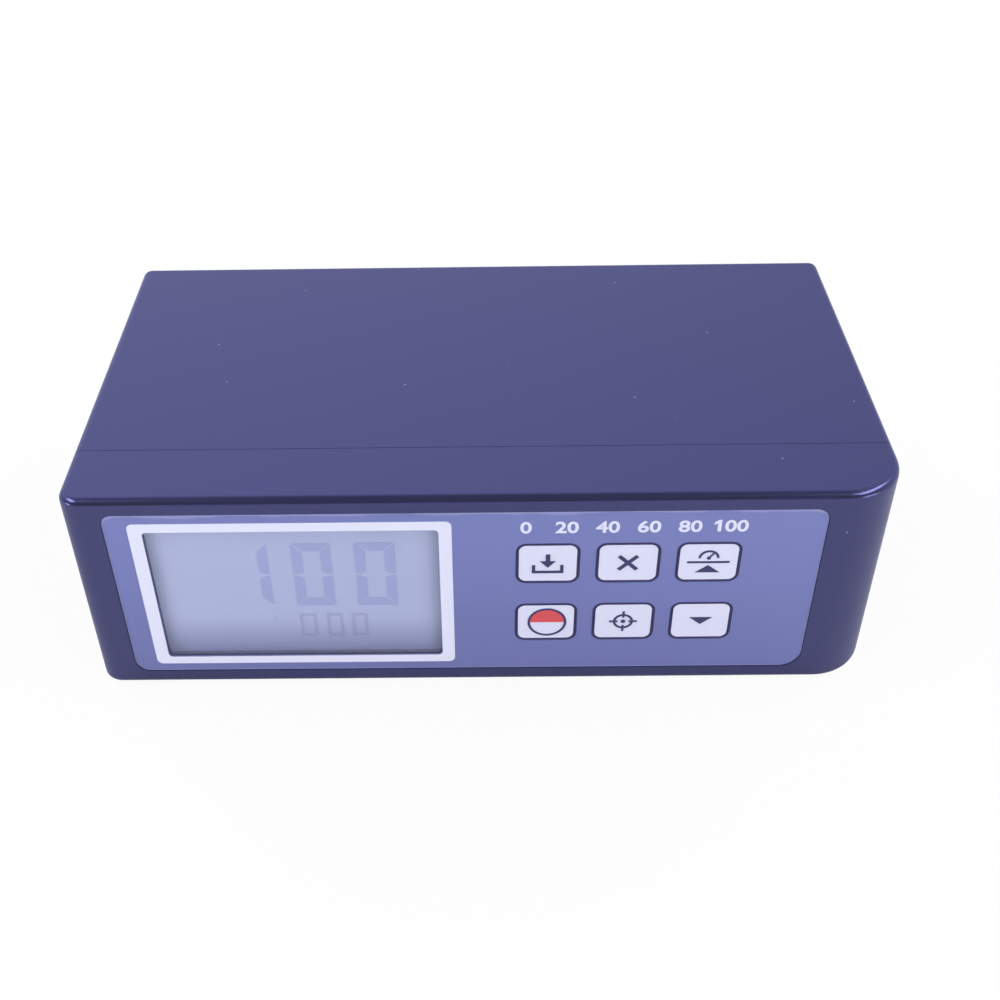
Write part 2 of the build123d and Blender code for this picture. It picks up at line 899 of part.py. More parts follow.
# Port ring in the floor: its face stands level with the feet
with BuildPart() as port_ring:
    rod(level_plane(port_x, port_y, 0), ring_flange_radius, low_z + ring_flange_sink)
    rod(level_plane(port_x, port_y, 0), ring_barrel_radius, ring_top_z)
    rod(level_plane(port_x, port_y, 0), port_radius, ring_top_z, mode=Mode.SUBTRACT)
    mouth = port_ring.edges().filter_by(GeomType.CIRCLE).group_by(Axis.Z)[0].sort_by(SortBy.RADIUS)[0]
    chamfer(mouth, ring_chamfer)
    rim = port_ring.edges().filter_by(GeomType.CIRCLE).group_by(Axis.Z)[0].sort_by(SortBy.RADIUS)[-1]
    fillet(rim, 0.4)
save(port_ring, "port_ring")

with BuildPart() as port_glass:
    rod(level_plane(port_x, port_y, ring_top_z), glass_radius, glass_thickness)
save(port_glass, "port_glass")

# Measuring head: light falls on the sample at 45 degrees and is read straight above it
sample_centre = Vector(port_x, port_y, 0)
cone_reach = (head_radius + head_shoulder) / math.sqrt(2)
emitter_planes = []
for i in range(emitter_count):
    around = math.radians(45 + 360 / emitter_count * i)
    ray = Vector(math.cos(around), math.sin(around), 1.0).normalized()
    side_way = Vector(-math.sin(around), math.cos(around), 0)
    emitter_planes.append(Plane(origin=sample_centre, x_dir=side_way, z_dir=ray))
head_cone_top = head_radius + head_shoulder - head_neck_radius
head_base_z = floor_z + running_clearance
detector_seat_z = head_top - detector_height
filter_seat_z = detector_seat_z - filter_thickness - 0.2
glass_seat_z = ring_top_z + glass_thickness + 0.1
with BuildPart() as optical_head:
    with BuildSketch(facing_front(port_y)):
        with BuildLine():
            Polyline(
                (port_x, head_base_z),
                (port_x + head_radius, head_base_z),
                (port_x + head_radius, head_shoulder),
                (port_x + head_neck_radius, head_cone_top),
                (port_x + head_neck_radius, head_top),
                (port_x, head_top),
                close=True,
            )
        make_face()
    revolve(axis=Axis((port_x, port_y, 0), (0, 0, 1)))
    ear_z = floor_z + head_boss_height
    for angle, (x, y) in zip(head_ear_angles, ear_places):
        with BuildSketch(level_plane((x + port_x) / 2, (y + port_y) / 2, ear_z)):
            Rectangle(head_ear_reach, 2 * head_ear_radius, rotation=angle)
        extrude(amount=head_ear_thickness)
        rod(level_plane(x, y, ear_z), head_ear_radius, head_ear_thickness)
    for x, y in ear_places:
        rod(
            level_plane(x, y, ear_z),
            head_screw_radius + screw_clearance,
            head_ear_thickness,
            mode=Mode.SUBTRACT,
        )
        rod(
            level_plane(x, y, head_base_z),
            head_ear_radius + running_clearance,
            ear_z - head_base_z,
            mode=Mode.SUBTRACT,
        )
    with BuildSketch(facing_front(port_y)):
        with BuildLine():
            Polyline(
                (port_x, head_base_z),
                (port_x + glass_radius + 0.2, head_base_z),
                (port_x + glass_radius + 0.2, glass_seat_z),
                (port_x + port_radius, glass_seat_z),
                (port_x + port_radius * 0.6, glass_seat_z + port_radius * 0.4),
                (port_x + channel_radius, glass_seat_z + port_radius * 0.9),
                (port_x + channel_radius, filter_seat_z),
                (port_x + filter_radius + 0.1, filter_seat_z),
                (port_x + filter_radius + 0.1, detector_seat_z),
                (port_x + detector_radius + 0.1, detector_seat_z),
                (port_x + detector_radius + 0.1, head_top),
                (port_x, head_top),
                close=True,
            )
        make_face()
    revolve(axis=Axis((port_x, port_y, 0), (0, 0, 1)), mode=Mode.SUBTRACT)
    for plane in emitter_planes:
        rod(plane.offset(8.0), emitter_radius + 0.1, cone_reach + 4.0 - 8.0, mode=Mode.SUBTRACT)
save(optical_head, "optical_head")

with BuildPart() as light_emitters:
    for plane in emitter_planes:
        rod(plane.offset(cone_reach - emitter_length), emitter_radius, emitter_length)
        rod(plane.offset(cone_reach), emitter_flange_radius, 1.0)
save(light_emitters, "light_emitters")

with BuildPart() as blue_filter:
    rod(level_plane(port_x, port_y, filter_seat_z), filter_radius, filter_thickness)
save(blue_filter, "blue_filter")

with BuildPart() as detector:
    rod(level_plane(port_x, port_y, detector_seat_z), detector_radius, detector_height)
save(detector, "detector")

with BuildPart() as sensor_board:
    board_x, board_y = sensor_board_size
    level_block(
        port_x - board_x / 2,
        port_x + board_x / 2,
        port_y - board_y / 2,
        port_y + board_y / 2,
        head_top,
        head_top + sensor_board_thickness,
    )
save(sensor_board, "sensor_board")

with BuildPart() as head_screws:
    for x, y in ear_places:
        add_screw(level_plane(x, y, ear_z + head_ear_thickness), head_screw_radius, 6.4, 2.4, 1.6)
save(head_screws, "head_screws")

# Flat ribbon from the sensor board to the main board, in a socket at each end
ribbon_width = 10.0
ribbon_thickness = 0.3
sensor_top_z = head_top + sensor_board_thickness
sensor_front_y = port_y - sensor_board_size[1] / 2
socket_depth = 4.0
ribbon_z = sensor_top_z + 1.2
ribbon_end_z = sensor_top_z + 3.6
with BuildPart() as ribbon_sockets:
    level_block(
        port_x - ribbon_width / 2 - 1,
        port_x + ribbon_width / 2 + 1,
        sensor_front_y + 1.0,
        sensor_front_y + 1.0 + socket_depth,
        sensor_top_z,
        sensor_top_z + 2.2,
    )
    slab(
        port_x - ribbon_width / 2 - 1,
        port_x + ribbon_width / 2 + 1,
        ribbon_end_z - 1.1,
        ribbon_end_z + 1.1,
        board_back_y,
        board_back_y + socket_depth,
    )
save(ribbon_sockets, "ribbon_sockets")

with BuildPart() as sensor_ribbon:
    with BuildSketch(Plane(origin=(port_x - ribbon_width / 2, 0, 0), x_dir=(0, 1, 0), z_dir=(1, 0, 0))):
        with BuildLine():
            FilletPolyline(
                (sensor_front_y + 1.0, ribbon_z),
                (sensor_front_y - 2.5, ribbon_z),
                (sensor_front_y - 6.0, ribbon_end_z),
                (board_back_y + socket_depth, ribbon_end_z),
                radius=2.0,
            )
        trace(line_width=ribbon_thickness)
    extrude(amount=ribbon_width)
save(sensor_ribbon, "sensor_ribbon")

# Data jack: its bush passes through the back wall and its nut sits in the recess
bush_front_y = back_inner_y
bush_back_y = back_y - 0.2
with BuildPart() as data_jack:
    half = jack_body_size / 2
    slab(
        jack_x - half,
        jack_x + half,
        jack_z - half,
        jack_z + half,
        bush_front_y - jack_body_length,
        bush_front_y,
        0.8,
    )
    rod(back_plane(jack_x, bush_front_y, jack_z), jack_bush_radius, bush_back_y - bush_front_y)
    rod(front_plane(jack_x, bush_back_y, jack_z), jack_bore_radius, jack_bore_length, mode=Mode.SUBTRACT)
save(data_jack, "data_jack")

with BuildPart() as jack_nut:
    with BuildSketch(back_plane(jack_x, back_y - jack_recess_depth, jack_z)):
        RegularPolygon(jack_nut_radius, 6)
        Circle(jack_bush_radius + 0.05, mode=Mode.SUBTRACT)
    extrude(amount=jack_recess_depth - 0.3)
save(jack_nut, "jack_nut")

# Rubber feet
with BuildPart() as rubber_feet:
    for x, y in front_foot_places + back_foot_places:
        rod(level_plane(x, y, 0), foot_radius, foot_height + foot_sink)
    fillet(rubber_feet.edges().filter_by(GeomType.CIRCLE).group_by(Axis.Z)[0], 0.3)
save(rubber_feet, "rubber_feet")
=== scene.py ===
import bpy
import math
import numpy as np
from mathutils import Matrix, Vector


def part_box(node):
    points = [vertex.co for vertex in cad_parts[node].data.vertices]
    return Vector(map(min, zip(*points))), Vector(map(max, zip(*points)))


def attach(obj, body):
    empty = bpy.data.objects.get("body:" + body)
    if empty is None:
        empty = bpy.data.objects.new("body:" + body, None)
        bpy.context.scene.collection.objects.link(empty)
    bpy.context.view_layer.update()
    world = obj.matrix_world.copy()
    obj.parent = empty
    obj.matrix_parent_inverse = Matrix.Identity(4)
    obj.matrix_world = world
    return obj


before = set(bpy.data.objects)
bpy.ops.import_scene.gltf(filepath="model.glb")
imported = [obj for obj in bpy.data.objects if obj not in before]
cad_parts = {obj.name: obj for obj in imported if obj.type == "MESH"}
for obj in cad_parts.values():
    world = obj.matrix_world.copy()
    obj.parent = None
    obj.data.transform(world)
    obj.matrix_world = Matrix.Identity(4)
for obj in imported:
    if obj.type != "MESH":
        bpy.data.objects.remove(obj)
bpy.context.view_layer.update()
mm = 0.001
print("frame loaded:", len(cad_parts), "nodes")


# Shader node groups, each built once and placed in the materials with its own values

def newGroup(name, inputs, outputs):
    group = bpy.data.node_groups.new(name, "ShaderNodeTree")
    for label, kind, value in inputs:
        socket = group.interface.new_socket(name=label, in_out="INPUT", socket_type=kind)
        socket.default_value = value
    for label, kind in outputs:
        group.interface.new_socket(name=label, in_out="OUTPUT", socket_type=kind)
    return group, group.nodes.new("NodeGroupInput"), group.nodes.new("NodeGroupOutput")


def addNode(tree, kind, links=None, **values):
    # one node with its settings; links maps an input's name or number to the socket that feeds it
    node = tree.nodes.new(kind)
    for key, value in values.items():
        if key.startswith("in_"):
            label = key[3:].replace("_", " ")
            node.inputs[int(label) if label.isdigit() else label].default_value = value
        else:
            setattr(node, key, value)
    for label, socket in (links or {}).items():
        tree.links.new(socket, node.inputs[label])
    return node


def mixColours(tree, factor, first, second, blend="MIX"):
    node = tree.nodes.new("ShaderNodeMix")
    node.data_type = "RGBA"
    node.blend_type = blend
    for socket, value in ((node.inputs[0], factor), (node.inputs[6], first), (node.inputs[7], second)):
        if isinstance(value, bpy.types.NodeSocket):
            tree.links.new(value, socket)
        else:
            socket.default_value = value
    return node.outputs[2]


def ramp(tree, source, low, high, smooth=True):
    # 0 below low, 1 above high
    node = addNode(tree, "ShaderNodeMapRange", {"Value": source}, in_From_Min=low, in_From_Max=high)
    node.interpolation_type = "SMOOTHSTEP" if smooth else "LINEAR"
    return node.outputs["Result"]


def calc(tree, operation, first, second=0.0):
    node = tree.nodes.new("ShaderNodeMath")
    node.operation = operation
    for socket, value in zip(node.inputs, (first, second)):
        if isinstance(value, bpy.types.NodeSocket):
            tree.links.new(value, socket)
        else:
            socket.default_value = value
    return node.outputs[0]


def noise(tree, vector, scale, detail=3.0):
    node = addNode(tree, "ShaderNodeTexNoise", {"Vector": vector}, in_Scale=scale, in_Detail=detail)
    return node.outputs["Fac"]


def buildMouldedGrain():
    # fine spark-eroded texture of a moulding: height, and a slow change of shade over the surface
    group, entry, leave = newGroup(
        "mouldedGrain",
        [("Grain Scale", "NodeSocketFloat", 3000.0), ("Cloud Scale", "NodeSocketFloat", 18.0),
         ("Cloud Amount", "NodeSocketFloat", 0.1)],
        [("Height", "NodeSocketFloat"), ("Shade", "NodeSocketFloat"), ("Gloss Drift", "NodeSocketFloat")],
    )
    where = group.nodes.new("ShaderNodeTexCoord").outputs["Object"]
    fine = group.nodes.new("ShaderNodeTexNoise")
    fine.inputs["Detail"].default_value = 4.0
    group.links.new(where, fine.inputs["Vector"])
    group.links.new(entry.outputs["Grain Scale"], fine.inputs["Scale"])
    cloud = group.nodes.new("ShaderNodeTexNoise")
    cloud.inputs["Detail"].default_value = 3.0
    group.links.new(where, cloud.inputs["Vector"])
    group.links.new(entry.outputs["Cloud Scale"], cloud.inputs["Scale"])
    centred = calc(group, "SUBTRACT", cloud.outputs["Fac"], 0.5)
    drift = calc(group, "MULTIPLY", centred, entry.outputs["Cloud Amount"])
    shade = calc(group, "ADD", drift, 1.0)
    group.links.new(fine.outputs["Fac"], leave.inputs["Height"])
    group.links.new(shade, leave.inputs["Shade"])
    group.links.new(drift, leave.inputs["Gloss Drift"])
    return group


def buildDustSpecks():
    # sparse specks: a mask that is 1 on a speck; Share of the cells hold one
    group, entry, leave = newGroup(
        "dustSpecks",
        [("Cell Scale", "NodeSocketFloat", 90.0), ("Speck Size", "NodeSocketFloat", 0.02),
         ("Share", "NodeSocketFloat", 0.2)],
        [("Mask", "NodeSocketFloat")],
    )
    where = group.nodes.new("ShaderNodeTexCoord").outputs["Object"]
    cells = group.nodes.new("ShaderNodeTexVoronoi")
    group.links.new(where, cells.inputs["Vector"])
    group.links.new(entry.outputs["Cell Scale"], cells.inputs["Scale"])
    near = calc(group, "LESS_THAN", cells.outputs["Distance"], entry.outputs["Speck Size"])
    pick = group.nodes.new("ShaderNodeSeparateColor")
    group.links.new(cells.outputs["Color"], pick.inputs["Color"])
    chosen = calc(group, "LESS_THAN", pick.outputs["Red"], entry.outputs["Share"])
    group.links.new(calc(group, "MULTIPLY", near, chosen), leave.inputs["Mask"])
    return group


def pastSides(group, entry):
    # how far a point lies past the half size on each axis about the centre; below 0 it lies inside
    where = group.nodes.new("ShaderNodeTexCoord").outputs["Object"]
    away = addNode(
        group, "ShaderNodeVectorMath", {0: where, 1: entry.outputs["Centre"]}, operation="SUBTRACT"
    )
    size = addNode(group, "ShaderNodeVectorMath", {0: away.outputs[0]}, operation="ABSOLUTE")
    past = addNode(
        group, "ShaderNodeVectorMath", {0: size.outputs[0], 1: entry.outputs["Half Size"]},
        operation="SUBTRACT",
    )
    return where, addNode(group, "ShaderNodeSeparateXYZ", {"Vector": past.outputs[0]})


def buildEdgeWear():
    # 1 along the edges of a box, broken up by noise: each axis counts from Width inside the box's side,
    # and an edge is where two axes count at once
    group, entry, leave = newGroup(
        "edgeWear",
        [("Centre", "NodeSocketVector", (0, 0, 0)), ("Half Size", "NodeSocketVector", (1, 1, 1)),
         ("Width", "NodeSocketFloat", 0.0006), ("Patch Scale", "NodeSocketFloat", 300.0)],
        [("Mask", "NodeSocketFloat")],
    )
    where, split = pastSides(group, entry)
    counts = []
    for axis in ("X", "Y", "Z"):
        inside = calc(group, "ADD", split.outputs[axis], entry.outputs["Width"])
        share = calc(group, "DIVIDE", inside, entry.outputs["Width"])
        counts.append(ramp(group, share, 0.0, 1.0))
    pairs = [calc(group, "MULTIPLY", counts[a], counts[b]) for a, b in ((0, 1), (1, 2), (0, 2))]
    edge = calc(group, "MAXIMUM", calc(group, "MAXIMUM", pairs[0], pairs[1]), pairs[2])
    patch = group.nodes.new("ShaderNodeTexNoise")
    group.links.new(where, patch.inputs["Vector"])
    group.links.new(entry.outputs["Patch Scale"], patch.inputs["Scale"])
    broken = ramp(group, patch.outputs["Fac"], 0.42, 0.62)
    group.links.new(calc(group, "MULTIPLY", edge, broken), leave.inputs["Mask"])
    return group


def buildOutlineBand():
    # 1 in a band just inside a rounded rectangle seen from the front: the distance to the outline is
    # the length of what lies past the corner centres, less the corner radius
    group, entry, leave = newGroup(
        "outlineBand",
        [("Centre", "NodeSocketVector", (0, 0, 0)), ("Half Size", "NodeSocketVector", (1, 1, 1)),
         ("Corner", "NodeSocketFloat", 0.002), ("Width", "NodeSocketFloat", 0.0004),
         ("Waver", "NodeSocketFloat", 0.0003), ("Waver Scale", "NodeSocketFloat", 400.0)],
        [("Mask", "NodeSocketFloat")],
    )
    where, split = pastSides(group, entry)
    across = calc(group, "MAXIMUM", calc(group, "ADD", split.outputs["X"], entry.outputs["Corner"]), 0.0)
    upright = calc(group, "MAXIMUM", calc(group, "ADD", split.outputs["Z"], entry.outputs["Corner"]), 0.0)
    square = calc(
        group, "ADD", calc(group, "MULTIPLY", across, across), calc(group, "MULTIPLY", upright, upright)
    )
    distance = calc(group, "SUBTRACT", calc(group, "SQRT", square), entry.outputs["Corner"])
    waves = group.nodes.new("ShaderNodeTexNoise")
    group.links.new(where, waves.inputs["Vector"])
    group.links.new(entry.outputs["Waver Scale"], waves.inputs["Scale"])
    centred = calc(group, "SUBTRACT", waves.outputs["Fac"], 0.5)
    sway = calc(group, "MULTIPLY", centred, entry.outputs["Waver"])
    inner = calc(group, "ADD", calc(group, "ADD", distance, sway), entry.outputs["Width"])
    share = calc(group, "DIVIDE", inner, entry.outputs["Width"])
    group.links.new(ramp(group, share, 0.0, 0.5), leave.inputs["Mask"])
    return group


mouldedGrain = buildMouldedGrain()
dustSpecks = buildDustSpecks()
edgeWear = buildEdgeWear()
outlineBand = buildOutlineBand()


def place(tree, group, **values):
    node = tree.nodes.new("ShaderNodeGroup")
    node.node_tree = group
    for key, value in values.items():
        node.inputs[key.replace("_", " ")].default_value = value
    return node


def startMaterial(name, colour, roughness, metallic=0.0, **sockets):
    # a Principled surface whose constant values sit on the shader's own sockets
    made = bpy.data.materials.new(name)
    made.use_nodes = True
    shader = made.node_tree.nodes["Principled BSDF"]
    shader.inputs["Base Color"].default_value = (*colour, 1.0)
    shader.inputs["Roughness"].default_value = roughness
    shader.inputs["Metallic"].default_value = metallic
    for key, value in sockets.items():
        shader.inputs[key.replace("_", " ")].default_value = value
    return made, made.node_tree, shader


def grained(
    name, colour, roughness, grain, height, cloud=0.1, wear=None, dust=None, metallic=0.0, **sockets
):
    # moulded, cast or coated surface: grain as bump, drifting shade, worn edges, dust
    made, tree, shader = startMaterial(name, colour, roughness, metallic, **sockets)
    surface = place(tree, mouldedGrain, Grain_Scale=grain, Cloud_Amount=cloud)
    shaded = mixColours(tree, 1.0, (*colour, 1.0), surface.outputs["Shade"], "MULTIPLY")
    if wear:
        worn = place(tree, edgeWear, Centre=wear["centre"], Half_Size=wear["half"], Width=wear["width"])
        amount = calc(tree, "MULTIPLY", worn.outputs["Mask"], wear["amount"])
        shaded = mixColours(tree, amount, shaded, (*wear["colour"], 1.0))
    if dust:
        specks = place(
            tree, dustSpecks, Cell_Scale=dust["scale"], Speck_Size=dust["size"], Share=dust["share"]
        )
        amount = calc(tree, "MULTIPLY", specks.outputs["Mask"], dust["amount"])
        shaded = mixColours(tree, amount, shaded, (*dust["colour"], 1.0))
    tree.links.new(shaded, shader.inputs["Base Color"])
    tree.links.new(calc(tree, "ADD", surface.outputs["Gloss Drift"], roughness), shader.inputs["Roughness"])
    bump = addNode(tree, "ShaderNodeBump", {"Height": surface.outputs["Height"]}, in_Strength=height)
    bump.inputs["Distance"].default_value = 0.00005
    tree.links.new(bump.outputs["Normal"], shader.inputs["Normal"])
    return made


# Materials of the object's own finishes

caseLook = {"colour": (0.024, 0.0255, 0.060), "roughness": 0.23, "grain": 2600.0, "height": 0.08,
            "tint": (0.42, 0.42, 1.0, 1.0), "index": 1.8, "haze": 0.42, "hazeTint": (0.60, 0.60, 1.0, 1.0)}
# The film's low colour is painted shade at its lower edge; rise gives the heights over which it gives way to
# the film's own colour
filmLook = {"colour": (0.164, 0.186, 0.425), "roughness": 0.36, "low": (0.142, 0.158, 0.368),
            "rise": (0.004, 0.042)}
printLook = {"white": (0.69, 0.70, 0.84), "pad": (0.645, 0.650, 0.80), "dark": (0.040, 0.036, 0.120),
             "red": (0.62, 0.075, 0.085), "outline": (0.028, 0.024, 0.095)}
# The display's darker colour at its lower edge is painted shade; rise gives the heights over which it gives
# way to the plate colour
displayLook = {"plate": (0.38, 0.43, 0.64), "paintedShadeFoot": (0.145, 0.162, 0.345), "rise": (0.0068, 0.0180),
               "segment": (0.74, 0.75, 0.90), "faint": (0.80, 0.80, 0.83)}

casePlastic = grained(
    "casePlastic", caseLook["colour"], caseLook["roughness"], caseLook["grain"], caseLook["height"], 0.05,
    wear={"centre": (0, 0, 0.023), "half": (0.07, 0.0375, 0.022), "width": 0.0007, "amount": 0.04,
          "colour": (0.12, 0.12, 0.25)},
    dust={"scale": 190.0, "size": 0.026, "share": 0.6, "amount": 0.6, "colour": (0.45, 0.45, 0.62)},
    Specular_Tint=caseLook["tint"], IOR=caseLook["index"], Specular_IOR_Level=1.0,
    Sheen_Weight=caseLook["haze"], Sheen_Roughness=0.22, Sheen_Tint=caseLook["hazeTint"],
)

# The film's outline, the pale line along it, and the uneven painted highlight along its upper side
filmOutline = {"centre": (-0.003025, 0, 0.0231), "half": (0.060075, 1, 0.0187), "corner": 0.0025}
filmRim = {"width": 0.00022, "waver": 0.00012, "waverScale": 900.0, "share": 0.75,
           "colour": (0.30, 0.32, 0.56, 1.0)}
# The film's upper-edge line is a painted highlight: a pale uneven band where the edge faces up
filmUpperHighlight = {"width": 0.00055, "waver": 0.0016, "waverScale": 130.0, "share": 0.38,
            "colour": (0.40, 0.41, 0.62, 1.0), "rise": (0.0405, 0.0412)}


def buildFilmPrint():
    # printed film: painted shade, darker from top to bottom, fine tooth, a few scuffs, its rim and a painted
    # highlight along its upper edge
    made, tree, shader = startMaterial("filmPrint", filmLook["colour"], filmLook["roughness"])
    where = tree.nodes.new("ShaderNodeTexCoord").outputs["Object"]
    split = addNode(tree, "ShaderNodeSeparateXYZ", {"Vector": where})
    # painted shade: the film's colour runs from the darker low colour at the bottom to its own colour higher
    # up
    upward = ramp(tree, split.outputs["Z"], *filmLook["rise"])
    base = mixColours(tree, upward, (*filmLook["low"], 1.0), (*filmLook["colour"], 1.0))
    surface = place(tree, mouldedGrain, Grain_Scale=5200.0, Cloud_Scale=26.0, Cloud_Amount=0.06)
    base = mixColours(tree, 1.0, base, surface.outputs["Shade"], "MULTIPLY")
    scuffs = place(tree, dustSpecks, Cell_Scale=160.0, Speck_Size=0.03, Share=0.035)
    base = mixColours(
        tree, calc(tree, "MULTIPLY", scuffs.outputs["Mask"], 0.5), base, (0.42, 0.43, 0.62, 1.0)
    )

    def bandMask(line):
        band = place(
            tree, outlineBand, Centre=filmOutline["centre"], Half_Size=filmOutline["half"],
            Corner=filmOutline["corner"], Width=line["width"], Waver=line["waver"],
            Waver_Scale=line["waverScale"],
        )
        return band.outputs["Mask"]

    rimShare = calc(tree, "MULTIPLY", bandMask(filmRim), filmRim["share"])
    base = mixColours(tree, rimShare, base, filmRim["colour"])
    # painted highlight along the film's upper edge, kept to the top by the upper ramp
    upper = ramp(tree, split.outputs["Z"], *filmUpperHighlight["rise"])
    upperHighlightMask = calc(tree, "MULTIPLY", bandMask(filmUpperHighlight), upper)
    upperHighlightShare = calc(tree, "MULTIPLY", upperHighlightMask, filmUpperHighlight["share"])
    base = mixColours(tree, upperHighlightShare, base, filmUpperHighlight["colour"])
    tree.links.new(base, shader.inputs["Base Color"])
    bump = addNode(tree, "ShaderNodeBump", {"Height": surface.outputs["Height"]}, in_Strength=0.12)
    bump.inputs["Distance"].default_value = 0.00003
    tree.links.new(bump.outputs["Normal"], shader.inputs["Normal"])
    return made


filmPrint = buildFilmPrint()
whiteInk = grained("whiteInk", printLook["white"], 0.42, 5200.0, 0.08, 0.03)
darkInk = grained("darkInk", printLook["dark"], 0.45, 5200.0, 0.08, 0.05)
redInk = grained("redInk", printLook["red"], 0.45, 5200.0, 0.08, 0.05)
keyOutline = grained("keyOutline", printLook["outline"], 0.45, 5200.0, 0.08, 0.05)
keyPad = grained("keyPad", printLook["pad"], 0.40, 4200.0, 0.12, 0.03)
blackPlastic = grained("blackPlastic", (0.022, 0.022, 0.026), 0.45, 2600.0, 0.3, 0.15)
whitePlastic = grained("whitePlastic", (0.74, 0.74, 0.71), 0.45, 2600.0, 0.2, 0.05)
greyRubber = grained(
    "greyRubber", (0.050, 0.050, 0.054), 0.75, 1800.0, 0.6, 0.2,
    dust={"scale": 700.0, "size": 0.1, "share": 0.1, "amount": 0.3, "colour": (0.3, 0.3, 0.3)},
)
zincSteel = grained("zincSteel", (0.56, 0.56, 0.55), 0.30, 1500.0, 0.25, 0.2, metallic=1.0)
brassPlate = grained("brassPlate", (0.78, 0.60, 0.28), 0.28, 1500.0, 0.2, 0.2, metallic=1.0)
blackAnodised = grained("blackAnodised", (0.040, 0.040, 0.046), 0.36, 2400.0, 0.35, 0.15, metallic=0.6)
ribbonFilm = grained("ribbonFilm", (0.62, 0.61, 0.57), 0.4, 1200.0, 0.15, 0.1)
leadSleeve = grained("leadSleeve", (0.36, 0.030, 0.030), 0.45, 1500.0, 0.2, 0.1)


def buildDisplayLayer(name, tint, **sockets):
    # polariser of the display and the figures in it: pale, with painted shade that makes it darker and bluer
    # towards its lower edge
    made, tree, shader = startMaterial(name, displayLook["plate"], 0.32, **sockets)
    where = tree.nodes.new("ShaderNodeTexCoord").outputs["Object"]
    split = addNode(tree, "ShaderNodeSeparateXYZ", {"Vector": where})
    # painted shade: the display and its figures darken and turn bluer towards the lower edge of the window
    upward = ramp(tree, split.outputs["Z"], *displayLook["rise"])
    base = mixColours(tree, upward, (*displayLook["paintedShadeFoot"], 1.0), (*displayLook["plate"], 1.0))
    base = mixColours(tree, 1.0, base, (*tint, 1.0), "MULTIPLY")
    cloud = noise(tree, where, 22.0)
    shade = calc(tree, "ADD", calc(tree, "MULTIPLY", cloud, 0.06), 0.97)
    tree.links.new(mixColours(tree, 1.0, base, shade, "MULTIPLY"), shader.inputs["Base Color"])
    return made


def buildClear(name, tint, alpha, roughness):
    # clear sheet: most light passes, its gloss stays; fine wipe marks change the roughness
    made, tree, shader = startMaterial(name, tint, roughness, Alpha=alpha, IOR=1.49)
    where = tree.nodes.new("ShaderNodeTexCoord").outputs["Object"]
    streaks = noise(tree, where, 240.0, 4.0)
    spread = calc(tree, "ADD", calc(tree, "MULTIPLY", streaks, 0.08), roughness - 0.04)
    tree.links.new(spread, shader.inputs["Roughness"])
    return made


def buildBoard():
    # laminate with solder mask and, under it, the paler lines of the copper
    made, tree, shader = startMaterial("boardMask", (0.02, 0.12, 0.05), 0.35)
    where = tree.nodes.new("ShaderNodeTexCoord").outputs["Object"]
    lines = addNode(tree, "ShaderNodeTexBrick", {"Vector": where}, in_Scale=90.0)
    lines.inputs["Mortar Size"].default_value = 0.012
    lines.inputs["Color1"].default_value = (0.018, 0.11, 0.045, 1)
    lines.inputs["Color2"].default_value = (0.022, 0.13, 0.052, 1)
    lines.inputs["Mortar"].default_value = (0.05, 0.24, 0.09, 1)
    tree.links.new(lines.outputs["Color"], shader.inputs["Base Color"])
    return made


def buildCellJacket():
    # printed sleeve with a darker band round one end of each cell
    made, tree, shader = startMaterial("cellJacket", (0.05, 0.15, 0.34), 0.28, Coat_Weight=0.3)
    where = tree.nodes.new("ShaderNodeTexCoord").outputs["Object"]
    split = addNode(tree, "ShaderNodeSeparateXYZ", {"Vector": where})
    band = ramp(tree, split.outputs["Y"], 0.018, 0.0182, False)
    base = mixColours(tree, band, (0.05, 0.15, 0.34, 1), (0.02, 0.02, 0.024, 1))
    tree.links.new(base, shader.inputs["Base Color"])
    tree.links.new(calc(tree, "ADD", calc(tree, "MULTIPLY", noise(tree, where, 300.0), 0.1), 0.22),
                   shader.inputs["Roughness"])
    return made


displayPlate = buildDisplayLayer("displayPlate", (1.0, 1.0, 1.0), Coat_Weight=0.25)
segmentInk = buildDisplayLayer("segmentInk", displayLook["segment"])
faintInk = buildDisplayLayer("faintInk", displayLook["faint"])
clearPane = buildClear("clearPane", (0.62, 0.64, 0.80), 0.10, 0.12)
clearLamp = buildClear("clearLamp", (0.8, 0.84, 0.9), 0.45, 0.10)
blueGlass = buildClear("blueGlass", (0.05, 0.12, 0.6), 0.85, 0.08)
boardMask = buildBoard()
cellJacket = buildCellJacket()
print("materials built:", len(bpy.data.materials))

nodeLooks = {
    casePlastic: ["front_housing", "rear_housing", "battery_door"],
    filmPrint: ["panel_film"],
    clearPane: ["display_window", "port_glass"],
    displayPlate: ["lcd_glass"],
    whitePlastic: ["lcd_backlight", "ribbon_sockets"],
    greyRubber: ["zebra_strips", "rubber_feet"],
    blackPlastic: ["lcd_holder", "tact_switches", "controller_chip", "board_parts", "battery_tray",
                   "data_jack"],
    boardMask: ["main_board", "sensor_board"],
    zincSteel: ["board_screws", "case_screws", "tray_screws", "head_screws", "battery_springs", "detector",
                "jack_nut"],
    brassPlate: ["battery_plates"],
    cellJacket: ["battery_cells"],
    leadSleeve: ["battery_leads"],
    blackAnodised: ["port_ring", "optical_head"],
    clearLamp: ["light_emitters"],
    blueGlass: ["blue_filter"],
    ribbonFilm: ["sensor_ribbon"],
}
keyNames = ["save_key", "delete_key", "read_key", "power_key", "calibrate_key", "down_key"]
nodeLooks[keyPad] = keyNames
nodeLooks[blackPlastic] += [name + "_stem" for name in keyNames]
for look, names in nodeLooks.items():
    for name in names:
        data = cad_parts[name].data
        data.materials.clear()
        data.materials.append(look)
print("looks given to", sum(len(names) for names in nodeLooks.values()), "CAD nodes")


# Printed layers

